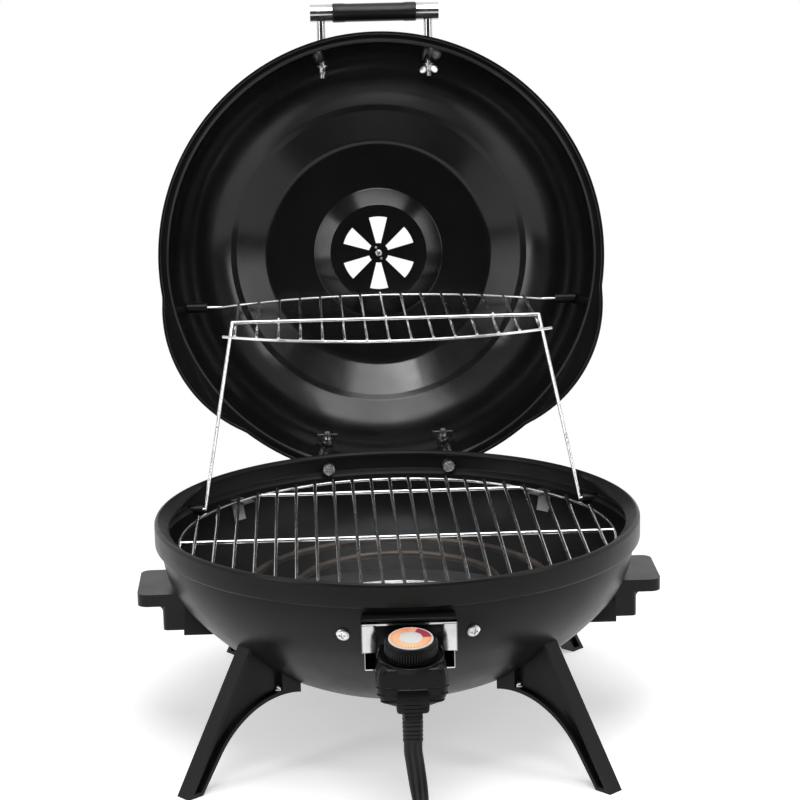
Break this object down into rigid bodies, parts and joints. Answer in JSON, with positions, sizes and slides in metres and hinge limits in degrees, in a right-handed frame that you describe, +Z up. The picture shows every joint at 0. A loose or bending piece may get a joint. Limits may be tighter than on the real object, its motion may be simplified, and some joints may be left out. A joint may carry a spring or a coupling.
{
  "type": "electric grill",
  "caption": "Round table-top electric grill with a hinged dome lid held open, a swing-up wire warming rack, a wire cooking grate, splayed legs and a plug-in dial control.",
  "frame": {"origin": "on the surface that the grill stands on, under the centre of the round bowl", "axes": "+Z up, -Y towards the front with the control and the cord, +X to the right as seen from the front; the lid hinges at +Y"},
  "size_m": [0.462, 0.8394, 0.6163],
  "materials": {
    "bowl_paint": "semi-gloss black paint",
    "lid_enamel": "glossy black enamel",
    "plated_wire": "bright nickel-chrome plated wire",
    "heater_sheath": "dark oxidised steel sheath",
    "steel_sheet": "plain steel",
    "pan_aluminium": "dull aluminium",
    "bright_chrome": "polished chrome",
    "zinc_fastener": "zinc-plated steel",
    "black_phenolic": "satin black heat-resistant plastic",
    "control_plastic": "satin black plastic",
    "dial_print": "printed orange, red and white dial",
    "cord_rubber": "black rubber",
    "blade_brass": "plain brass"
  },
  "bodies": {
    "base": {"bowl": "bowl_paint", "rack_socket_left": "bowl_paint", "rack_socket_right": "bowl_paint", "grate_clip_front_left": "steel_sheet", "grate_clip_front_right": "steel_sheet", "grate_clip_rear_left": "steel_sheet", "grate_clip_rear_right": "steel_sheet", "heating_element": "heater_sheath", "element_plate": "steel_sheet", "drip_pan": "pan_aluminium", "front_bracket": "bright_chrome", "front_lip": "bowl_paint", "front_screw_left": "zinc_fastener", "front_screw_right": "zinc_fastener", "handle_block_left": "black_phenolic", "handle_block_right": "black_phenolic", "side_grip_left": "black_phenolic", "side_grip_right": "black_phenolic", "handle_bolts_left": "zinc_fastener", "handle_bolts_right": "zinc_fastener", "leg_front_left": "black_phenolic", "leg_front_right": "black_phenolic", "leg_rear_left": "black_phenolic", "leg_rear_right": "black_phenolic", "leg_screw_front_left": "zinc_fastener", "leg_screw_front_right": "zinc_fastener", "leg_screw_rear_left": "zinc_fastener", "leg_screw_rear_right": "zinc_fastener", "hinge_bracket_left": "bowl_paint", "hinge_bracket_right": "bowl_paint", "hinge_bolt_left": "zinc_fastener", "hinge_bolt_right": "zinc_fastener", "hinge_pin_left": "zinc_fastener", "hinge_pin_right": "zinc_fastener"},
    "lid": {"lid_shell": "lid_enamel", "hinge_strap_left": "bowl_paint", "hinge_strap_right": "bowl_paint", "hinge_wing_nut_left": "zinc_fastener", "hinge_wing_nut_right": "zinc_fastener", "lid_post_left": "bright_chrome", "lid_post_right": "bright_chrome", "lid_grip": "black_phenolic", "post_wing_nut_left": "zinc_fastener", "post_wing_nut_right": "zinc_fastener", "vent_rivet": "zinc_fastener", "lid_socket_left": "bowl_paint", "lid_socket_right": "bowl_paint"},
    "damper": {"vent_damper": "lid_enamel"},
    "rack": {"warming_rack": "plated_wire"},
    "rack_legs": {"rack_legs": "plated_wire"},
    "grate": {"cooking_grate": "plated_wire"},
    "controller": {"control_housing": "control_plastic", "sensor_probe": "steel_sheet", "strain_relief": "cord_rubber", "cord_tube": "cord_rubber", "cord_coil": "cord_rubber", "plug": "cord_rubber", "plug_blades": "blade_brass"},
    "dial": {"control_knob": "control_plastic", "dial_plate": "dial_print"}
  },
  "joints": [
    {"name": "lid_hinge", "type": "hinge", "parent": "base", "child": "lid", "pos_m": [0, 0.216, 0.166], "axis": [-1, 0, 0], "range_deg": [-98, 0]},
    {"name": "rack_tilt", "type": "hinge", "parent": "lid", "child": "rack", "pos_m": [0, 0.31256, 0.32208], "axis": [-1, 0, 0], "range_deg": [0, 98]},
    {"name": "leg_swing", "type": "hinge", "parent": "rack", "child": "rack_legs", "pos_m": [0, 0.19506, 0.33008], "axis": [-1, 0, 0], "range_deg": [-98, 0]},
    {"name": "vent_damper_turn", "type": "hinge", "parent": "lid", "child": "damper", "pos_m": [0, 0.37836, 0.3613], "axis": [0, 0.9903, -0.1392], "range_deg": [-1, 29]},
    {"name": "grate_lift", "type": "slide", "parent": "base", "child": "grate", "axis": [0, 0, 1], "range_m": [0, 0.1]},
    {"name": "controller_slide", "type": "slide", "parent": "base", "child": "controller", "axis": [0, -1, 0], "range_m": [0, 0.11]},
    {"name": "dial_turn", "type": "hinge", "parent": "controller", "child": "dial", "pos_m": [0, -0.24504, 0.14603], "axis": [0, -0.1736, 0.9848], "range_deg": [0, 270]}
  ],
  "couplings": [
    {"joint": "rack_tilt", "follows": "lid_hinge", "ratio": -1},
    {"joint": "leg_swing", "follows": "lid_hinge", "ratio": 1}
  ]
}
